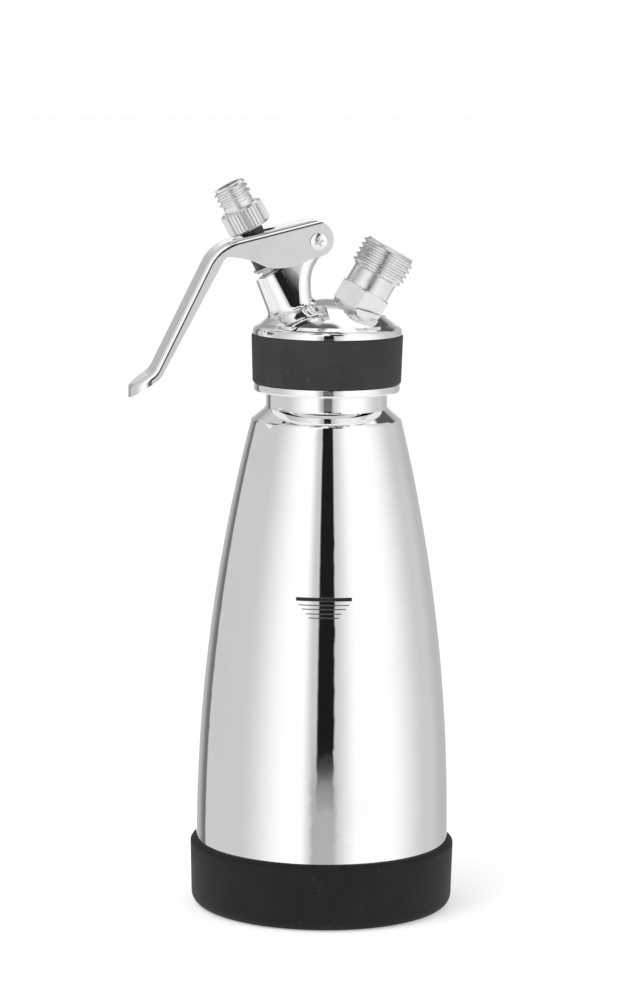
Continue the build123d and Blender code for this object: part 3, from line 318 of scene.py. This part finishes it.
@dataclass(frozen=True)
class Silicone:
    """Matte silicone or rubber with a fine moulded texture and a little dust.

    Attributes:
        name: name of the material.
        colour: colour of clean silicone.
        roughness: mean roughness.
        dust: how strongly the specks of dust show.
        gloss: strength of the surface's reflections.
        texture: cells per metre of the moulded texture.
        texture_depth: its height in metres.
        texture_strength: how much of that height shows.
        specks: cells per metre of the specks, and the values of the noise between which one shows.
        lint: the same for the lint.
        upright: factors that make the lint's cells long and upright.
        clouds: cells per metre of the soft change of tone, and the values of the noise that it spans.
        unevenness: how far the clouds change the roughness.
        dusty: factor and lift that make the dust's tone from the colour.
        dull: factor and lift that make the duller tone from it.
    """

    name: str
    colour: Triple
    roughness: float = 0.6
    dust: float = 0.35
    gloss: float = 0.4
    texture: float = 4200.0
    texture_depth: float = 0.00003
    texture_strength: float = 0.5
    specks: Triple = (1100.0, 0.70, 0.76)
    lint: Triple = (700.0, 0.72, 0.78)
    upright: Triple = (1.0, 1.0, 0.25)
    clouds: Triple = (90.0, 0.4, 0.65)
    unevenness: float = 0.15
    dusty: Span = (2.5, 0.05)
    dull: Span = (1.25, 0.002)

    def tint(self, factor: float, lift: float) -> Triple:
        """The colour times a factor plus a lift, at most white."""
        return tuple(min(1.0, factor * c + lift) for c in self.colour)

    def make(self) -> bpy.types.Material:
        """Build the material.

        Returns:
            The material, which is used by no piece yet.
        """
        material = bpy.data.materials.new(self.name)
        graph = Graph(material)
        moulded = graph.noise(self.texture)
        broad = graph.noise(self.clouds[0])
        specks = graph.noise(self.specks[0], detail=1.0).rise(*self.specks[1:])
        lint = graph.noise(self.lint[0], detail=2.0, stretch=self.upright).rise(*self.lint[1:])
        tone = graph.mix(broad.rise(*self.clouds[1:]), self.colour, self.tint(*self.dull))
        graph.end(graph.surface({
            "Base Color": graph.mix((specks | lint) * self.dust, tone, self.tint(*self.dusty)),
            "Roughness": self.roughness + (broad - MIDDLE) * self.unevenness,
            "Specular IOR Level": self.gloss,
            "Normal": graph.bump(moulded, self.texture_strength, self.texture_depth),
        }))
        return material


@dataclass(frozen=True)
class Plastic:
    """Smooth moulded plastic.

    Attributes:
        name: name of the material.
        colour: colour of clean plastic.
        roughness: mean roughness.
        clouds: cells per metre of the soft change of tone, and the values of the noise that it spans.
        dull: brightness of the duller places, in parts of the colour's.
        unevenness: how far the clouds change the roughness.
        texture: cells per metre of the moulded texture.
        texture_depth: its height in metres.
        texture_strength: how much of that height shows.
    """

    name: str
    colour: Triple
    roughness: float = 0.35
    clouds: Triple = (300.0, 0.35, 0.65)
    dull: float = 0.9
    unevenness: float = 0.1
    texture: float = 2600.0
    texture_depth: float = 0.000004
    texture_strength: float = 0.4

    def make(self) -> bpy.types.Material:
        """Build the material.

        Returns:
            The material, which is used by no piece yet.
        """
        material = bpy.data.materials.new(self.name)
        graph = Graph(material)
        cloud = graph.noise(self.clouds[0])
        moulded = graph.noise(self.texture, detail=2.0)
        dark = tuple(self.dull * c for c in self.colour)
        graph.end(graph.surface({
            "Base Color": graph.mix(cloud.rise(*self.clouds[1:]), dark, self.colour),
            "Roughness": self.roughness + (cloud - MIDDLE) * self.unevenness,
            "Normal": graph.bump(moulded, self.texture_strength, self.texture_depth),
        }))
        return material


class Finish(Enum):
    """The finishes of the dispenser's parts."""

    BOTTLE = Metal("bottle_steel", (0.93, 0.93, 0.935), 0.035, lines=2600.0, along=(0.02, 0.02, 1.0),
                   line_depth=0.0000004, waves=22.0, wave_depth=0.00001, smudge=0.015, mark=FillMark())
    HEAD = Metal("head_steel", (0.92, 0.92, 0.925), 0.05, lines=1800.0, waves=140.0, wave_depth=0.000008)
    LEVER = Metal("lever_steel", (0.92, 0.92, 0.925), 0.07, lines=2200.0, along=(0.15, 1.0, 0.15), waves=90.0,
                  smudge=0.03)
    FITTING = Metal("nickel_fitting", (0.83, 0.825, 0.815), 0.25, lines=2000.0, line_depth=0.00000015,
                    waves=130.0, wave_depth=0.00022, smudge=0.05)
    BOLT = Metal("bolt_nickel", (0.90, 0.90, 0.90), 0.16, lines=2000.0, waves=300.0, smudge=0.04)
    SATIN = Metal("satin_steel", (0.78, 0.78, 0.785), 0.30, lines=2400.0, smudge=0.05)
    # darker than the satin steel: painted shade on the spring cap, which sits in the shade under the lever
    CAP_PAINTED_SHADE = Metal("cap_steel_painted_shade", (0.52, 0.52, 0.525), 0.26, lines=2400.0, smudge=0.05)
    ADAPTER = Metal("satin_adapter", (0.84, 0.84, 0.84), 0.28, lines=2400.0, smudge=0.05)
    BOOT = Silicone("boot_silicone", (0.008, 0.008, 0.0083), gloss=0.24)
    BAND = Silicone("band_silicone", (0.030, 0.030, 0.031))
    SEAL = Silicone("seal_rubber", (0.09, 0.09, 0.09), 0.7, dust=0.15)
    GUIDE = Plastic("guide_plastic", (0.74, 0.74, 0.72))
    # near black: painted shade on the bush in the wedge between the adapter and the lever
    BUSH_PAINTED_SHADE = Plastic("bush_plastic_painted_shade", (0.03, 0.03, 0.03), 0.3)


class Wardrobe:
    """Makes each finish once and dresses meshes in it."""

    def __init__(self) -> None:
        """Start with no material made."""
        self.made: dict[Finish, bpy.types.Material] = {}

    def of(self, finish: Finish) -> bpy.types.Material:
        """Material of a finish, made when it is first asked for.

        Args:
            finish: the finish.

        Returns:
            Its material.
        """
        if finish not in self.made:
            self.made[finish] = finish.value.make()
        return self.made[finish]

    def dress(self, piece: bpy.types.Object, finish: Finish) -> None:
        """Give a piece one finish in all of its slots.

        Args:
            piece: the mesh object.
            finish: the finish.
        """
        slots = piece.data.materials
        if not slots:
            slots.append(self.of(finish))
        for index in range(len(slots)):
            slots[index] = self.of(finish)


# ---------------------------------------------------------------- sub-assemblies


@dataclass
class SubAssembly:
    """Pieces that belong together, with the finish of each."""

    title: str = ""

    def finishes(self) -> dict[str, Finish]:
        """Finish of each node."""
        return {}

    def build(self, wardrobe: Wardrobe) -> None:
        """Build the meshes that stand for nodes; most sub-assemblies have none."""

    def dress(self, wardrobe: Wardrobe) -> None:
        """Give every node its finish.

        Args:
            wardrobe: maker of the materials.
        """
        for name, finish in self.finishes().items():
            wardrobe.dress(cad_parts[name], finish)


@dataclass
class Bottle(SubAssembly):
    """Polished bottle with its fill mark, standing in a silicone boot."""

    title: str = "bottle"

    def finishes(self) -> dict[str, Finish]:
        """Finish of each node."""
        return {"bottle": Finish.BOTTLE, "base_boot": Finish.BOOT}


@dataclass
class Head(SubAssembly):
    """Cast head with its silicone ring, gasket, valve guide and pivot."""

    title: str = "head"

    def finishes(self) -> dict[str, Finish]:
        """Finish of each node."""
        return {"head_body": Finish.HEAD, "collar_ring": Finish.BAND, "head_gasket": Finish.SEAL,
                "valve_guide": Finish.GUIDE, "stem_o_ring": Finish.SEAL, "pivot_bolt": Finish.BOLT,
                "pivot_nut": Finish.BOLT}


@dataclass
class Lever(SubAssembly):
    """Bent sheet lever."""

    title: str = "lever"

    def finishes(self) -> dict[str, Finish]:
        """Finish of the node."""
        return {"lever": Finish.LEVER}


@dataclass
class Valve(SubAssembly):
    """Stem with its spring, seals and the threaded adapter for a tip.

    Attributes:
        rim: middle of the barrel's rim.
        lean: lean of the valve's axis in degrees, towards the lever's grip.
        coil: radius of the spring's centre line.
        wire: thickness of its wire.
        turns: number of its turns.
        levels: where its centre line starts and ends, up the axis from the rim.
        travel: how far the stem goes down; not used.
        steps: number of steps along the wire and round it.
    """

    title: str = "valve"
    rim: Triple = (-0.01844, 0.0, 0.21714)
    lean: float = 28.5
    coil: float = 0.00485
    wire: float = 0.0009
    turns: float = 5.5
    levels: Span = (-0.00953, 0.00183)
    travel: float = 0.002047
    steps: tuple[int, int] = (440, 20)

    def finishes(self) -> dict[str, Finish]:
        """Finish of each node."""
        return {"valve_stem": Finish.SATIN, "stem_seal": Finish.SEAL, "stem_clip": Finish.SATIN,
                "spring_cap": Finish.CAP_PAINTED_SHADE, "lever_bush": Finish.BUSH_PAINTED_SHADE, "nozzle_adapter": Finish.ADAPTER,
                "adapter_seal": Finish.SEAL}

    def axes(self) -> np.ndarray:
        """The valve's three directions as rows: across it, towards the back and up its axis."""
        turn = radians(self.lean)
        return np.array([(cos(turn), 0.0, sin(turn)), (0.0, 1.0, 0.0), (-sin(turn), 0.0, cos(turn))])

    def spring_points(self) -> np.ndarray:
        """Work out the surface of the spring's wire.

        With t from 0 to 1 along the wire and u once round it, the centre line is at the angle 2 pi turns t, one
        coil radius from the axis, and rises evenly from the first level to the last. A point of the surface lies
        half a wire from it: cos u outwards from the axis plus sin u along the cross product of the centre line's
        direction and the outward direction.

        Returns:
            The points on a grid of t by u by 3.
        """
        low, high = self.levels
        t = np.linspace(0.0, 1.0, self.steps[0] + 1)[:, None]
        u = np.linspace(0.0, 2 * np.pi, self.steps[1], endpoint=False)[None, :, None]
        angle = 2 * np.pi * self.turns * t
        outward = np.hstack([np.cos(angle), np.sin(angle), 0 * angle])
        climb = (high - low) / (2 * np.pi * self.turns)
        forward = np.hstack([-self.coil * np.sin(angle), self.coil * np.cos(angle), 0 * angle + climb])
        forward /= np.linalg.norm(forward, axis=1, keepdims=True)
        centre = self.coil * outward + np.array([0.0, 0.0, 1.0]) * (low + (high - low) * t)
        around = np.cos(u) * outward[:, None] + np.sin(u) * np.cross(forward, outward)[:, None]
        return (centre[:, None] + self.wire / 2 * around) @ self.axes() + np.array(self.rim)

    def spring_mesh(self) -> bpy.types.Mesh:
        """Join the spring's points by quads, with one flat face on each end.

        Returns:
            The closed mesh, with its faces pointing outwards.
        """
        points = self.spring_points()
        count, ring = points.shape[:2]
        first = ring * np.arange(count - 1)[:, None] + np.arange(ring)[None, :]
        beside = ring * np.arange(count - 1)[:, None] + (np.arange(ring)[None, :] + 1) % ring
        sides = np.stack([first, beside, beside + ring, first + ring], axis=2).reshape(-1, 4)
        ends = [list(range(ring - 1, -1, -1)), list(range(ring * (count - 1), ring * count))]
        mesh = bpy.data.meshes.new("spring_wire")
        mesh.from_pydata(points.reshape(-1, 3).tolist(), [], sides.tolist() + ends)
        smooth = np.arange(len(mesh.polygons)) < len(sides)
        mesh.polygons.foreach_set("use_smooth", smooth)
        return mesh

    def build(self, wardrobe: Wardrobe) -> None:
        """Build the spring, dress it, hide the node that it stands for and attach it to the valve.

        Args:
            wardrobe: maker of the materials.
        """
        spring = bpy.data.objects.new("spring_wire", self.spring_mesh())
        bpy.context.scene.collection.objects.link(spring)
        wardrobe.dress(spring, Finish.SATIN)
        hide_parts("valve_spring")
        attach(spring, "valve")
        low, high = self.levels
        top = np.array(self.rim) + (high + self.wire / 2) * self.axes()[2]
        tuple(self.axes()[2])
        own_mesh(spring)


@dataclass
class Connector(SubAssembly):
    """Threaded connector for a charger, with what it holds."""

    title: str = "connector"

    def finishes(self) -> dict[str, Finish]:
        """Finish of each node."""
        return {"charger_nipple": Finish.FITTING, "nipple_washer": Finish.SATIN, "piercing_pin": Finish.SATIN,
                "charger_gasket": Finish.SEAL, "check_valve_sleeve": Finish.SEAL}


# ---------------------------------------------------------------- studio


@dataclass(frozen=True)
class Panel:
    """Soft-edged panel of the studio, as the metal sees it.

    Attributes:
        name: what it stands for.
        azimuth: start and end edges in degrees, 0 straight in front and positive to the right.
        elevation: lower and upper edges in degrees.
        level: its brightness, where 1 is white.
    """

    name: str
    azimuth: tuple[Span, Span]
    elevation: tuple[Span, Span]
    level: float

    def over(self, level: Any, azimuth: Wire, elevation: Wire) -> Wire:
        """Brightness with the panel laid over a level, at a direction's azimuth and elevation in degrees."""
        mask = azimuth.within(*self.azimuth) * elevation.within(*self.elevation)
        return level * (1 - mask) + mask * self.level


@dataclass(frozen=True)
class Lamp:
    """Soft box that lights matte surfaces.

    Attributes:
        name: name of the lamp.
        place: its middle.
        turn: its rotation in degrees.
        size: its side in metres.
        power: its power in watts.
    """

    name: str
    place: Triple
    turn: Triple
    size: float
    power: float

    def hang(self) -> None:
        """Add the lamp, out of the metal's sight, because the panels stand for it there."""
        data = bpy.data.lights.new(self.name, "AREA")
        data.shape = "SQUARE"
        data.size = self.size
        data.energy = self.power
        lamp = bpy.data.objects.new(self.name, data)
        lamp.location = self.place
        lamp.rotation_euler = tuple(radians(a) for a in self.turn)
        lamp.visible_glossy = False
        bpy.context.scene.collection.objects.link(lamp)


FULL = ((-200.0, -190.0), (190.0, 200.0))  # azimuths all round
UPRIGHT = ((-100.0, -95.0), (95.0, 100.0))  # elevations from below the table to overhead
LOW = ((-100.0, -95.0), (-25.0, -20.0))  # elevations below the table's edge
BEHIND = ((-100.0, -95.0), (16.0, 24.0))  # elevations up to the top of the boards behind


@dataclass
class Studio:
    """Floor, lamps, panels and camera.

    Attributes:
        camera_place: camera's place.
        camera_turn: camera's rotation in degrees.
        lens: focal length in millimetres.
        sensor: height of the sensor in millimetres.
        sight: how far the camera sees.
        front: azimuth of the viewer in degrees, from which the panels' azimuths count.
        room: brightness of the room between the panels.
        ambient: brightness of the room on matte surfaces.
        floor_half: half of the floor's side.
        floor_tone: brightness of the floor's colour.
        floor_roughness: roughness of the floor.
        floor_gloss: strength of its reflections.
        lift: glow of the floor for the eye and the metal, which makes it white.
        table: radii between which the white table ends for the metal's reflections.
        panels: the panels, each laid over the ones before.
        lamps: the lamps.
    """

    camera_place: Triple = (-0.180927, -1.287348, 0.326417)
    camera_turn: Triple = (81.8069, -0.6283, -7.7608)
    lens: float = 139.364
    sensor: float = 36.0
    sight: float = 50.0
    front: float = -8.0
    room: float = 0.63
    ambient: float = 0.62
    floor_half: float = 6.0
    floor_tone: float = 0.90
    floor_roughness: float = 0.8
    floor_gloss: float = 0.1
    lift: float = 0.42
    table: Span = (0.08, 0.12)
    panels: tuple[Panel, ...] = (
        Panel("left board", ((-82.0, -32.0), (-20.0, -9.0)), UPRIGHT, 1.08),
        Panel("right board", ((9.0, 34.0), (62.0, 112.0)), UPRIGHT, 1.08),
        Panel("window behind, left", ((-200.0, -190.0), (-172.0, -162.0)), BEHIND, 0.95),
        Panel("window behind, right", ((166.0, 176.0), (190.0, 200.0)), BEHIND, 0.95),
        Panel("left edge band", ((-172.0, -164.0), (-138.0, -133.0)), BEHIND, 0.50),
        Panel("left edge line", ((-157.0, -139.0), (-136.0, -133.0)), BEHIND, 0.18),
        Panel("right edge band", ((120.0, 142.0), (160.0, 170.0)), BEHIND, 0.52),
        Panel("wall behind, left", ((-200.0, -190.0), (-160.0, -140.0)), ((12.0, 18.0), (36.0, 44.0)), 0.36),
        Panel("wall behind, right", ((150.0, 165.0), (190.0, 200.0)), ((12.0, 18.0), (36.0, 44.0)), 0.36),
        Panel("dark board behind", ((126.0, 134.0), (158.0, 166.0)), ((18.0, 26.0), (44.0, 52.0)), 0.10),
        Panel("ceiling", FULL, ((74.0, 80.0), (95.0, 100.0)), 0.14),
        Panel("white sheet overhead", ((-30.0, -22.0), (2.0, 5.0)), ((26.0, 32.0), (74.0, 80.0)), 1.05),
        Panel("dark end of the sheet", ((-41.0, -37.0), (-19.0, -16.0)), ((52.0, 57.0), (72.0, 76.0)), 0.03),
        Panel("dark board at the barrel", ((-41.0, -37.0), (-12.0, -8.0)), ((54.0, 57.0), (63.0, 67.0)), 0.03),
        Panel("dark board behind, left", ((-150.0, -140.0), (-110.0, -98.0)), ((58.0, 64.0), (82.0, 86.0)), 0.12),
        Panel("dark board on the right", ((28.0, 34.0), (56.0, 64.0)), ((60.0, 65.0), (76.0, 84.0)), 0.04),
        Panel("dark edge of the sheet", ((4.0, 7.0), (28.0, 34.0)), ((32.0, 37.0), (56.0, 62.0)), 0.03),
        Panel("white sheet behind", ((120.0, 132.0), (190.0, 200.0)), ((44.0, 50.0), (74.0, 79.0)), 1.1),
        Panel("grey foot of the strip", ((-12.0, -8.0), (9.0, 16.0)), ((-16.0, -13.0), (-9.0, -2.0)), 0.46),
        Panel("black strip", ((-6.5, -4.2), (9.5, 11.7)), ((-10.6, -4.6), (34.0, 48.0)), 0.012),
        Panel("light from the table", FULL, LOW, 0.95),
    )
    lamps: tuple[Lamp, ...] = (
        Lamp("key", place=(-1.1, -0.7, 1.5), turn=(42.0, 0.0, -58.0), size=1.2, power=12.0),
        Lamp("fill", place=(1.4, -0.9, 1.1), turn=(58.0, 0.0, 56.0), size=1.4, power=3.0),
    )

    def build(self) -> None:
        """Set the whole studio up."""
        self.camera()
        self.floor()
        for lamp in self.lamps:
            lamp.hang()
        self.world()
        bpy.context.scene.view_settings.view_transform = "Standard"

    def camera(self) -> None:
        """Place the camera."""
        data = bpy.data.cameras.new("camera")
        data.sensor_fit = "VERTICAL"
        data.sensor_height = self.sensor
        data.lens = self.lens
        data.clip_end = self.sight
        seat = bpy.data.objects.new("camera", data)
        seat.location = self.camera_place
        seat.rotation_euler = tuple(radians(a) for a in self.camera_turn)
        bpy.context.scene.collection.objects.link(seat)
        bpy.context.scene.camera = seat

    def floor(self) -> None:
        """Lay a large pale floor that shows white but keeps the shadow; metal sees only its middle."""
        mesh = bpy.data.meshes.new("floor")
        half = self.floor_half
        corners = [(-half, -half, 0), (half, -half, 0), (half, half, 0), (-half, half, 0)]
        mesh.from_pydata(corners, [], [(0, 1, 2, 3)])
        slab = bpy.data.objects.new("floor", mesh)
        bpy.context.scene.collection.objects.link(slab)
        material = bpy.data.materials.new("floor_white")
        graph = Graph(material)
        lift = graph.seen("Is Camera Ray", "Is Glossy Ray")
        white = graph.surface({
            "Base Color": (self.floor_tone,) * 3,
            "Roughness": self.floor_roughness, "Specular IOR Level": self.floor_gloss,
            "Emission Color": graph.mix(lift, BLACK, WHITE), "Emission Strength": self.lift,
        })
        reach = graph.node("ShaderNodeVectorMath", {"operation": "LENGTH"}, {0: graph.place()}, "Value")
        beyond = reach.rise(*self.table) * graph.seen("Is Glossy Ray")
        graph.end(graph.blend(beyond, white, graph.node("ShaderNodeBsdfTransparent", {}, {})))
        mesh.materials.append(material)

    def world(self) -> None:
        """White surroundings for the camera, panels for the metal and a plain level for the rest."""
        world = bpy.data.worlds.new("studio")
        bpy.context.scene.world = world
        graph = Graph(world)
        x, y, z = graph.axes(graph.node("ShaderNodeTexCoord", {}, {}, "Generated"))
        turn = x.math("ARCTAN2", x, 0 - y)
        azimuth = turn.math("DEGREES", turn) - self.front
        tilt = z.math("ARCSINE", z)
        elevation = tilt.math("DEGREES", tilt)
        level: Any = self.room
        for panel in self.panels:
            level = panel.over(level, azimuth, elevation)
            log.info("studio: %s at %.2f", panel.name, panel.level)
        seen = graph.node("ShaderNodeBackground", {}, {"Color": WHITE, "Strength": 1.0})
        panels = graph.node("ShaderNodeBackground", {}, {"Color": WHITE, "Strength": level})
        plain = graph.node("ShaderNodeBackground", {}, {"Color": WHITE, "Strength": self.ambient})
        lit = graph.blend(graph.seen("Is Glossy Ray"), plain, panels)
        clear = graph.seen("Is Camera Ray", "Is Transmission Ray")
        graph.end(graph.blend(clear, lit, seen), "ShaderNodeOutputWorld")


def main() -> None:
    """Build the studio and dress the model."""
    logging.basicConfig(level=logging.INFO, format="%(message)s")
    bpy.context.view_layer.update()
    Studio().build()
    wardrobe = Wardrobe()
    for assembly in (Bottle(), Head(), Lever(), Valve(), Connector()):
        assembly.build(wardrobe)
        assembly.dress(wardrobe)


if __name__ == "__main__":
    main()
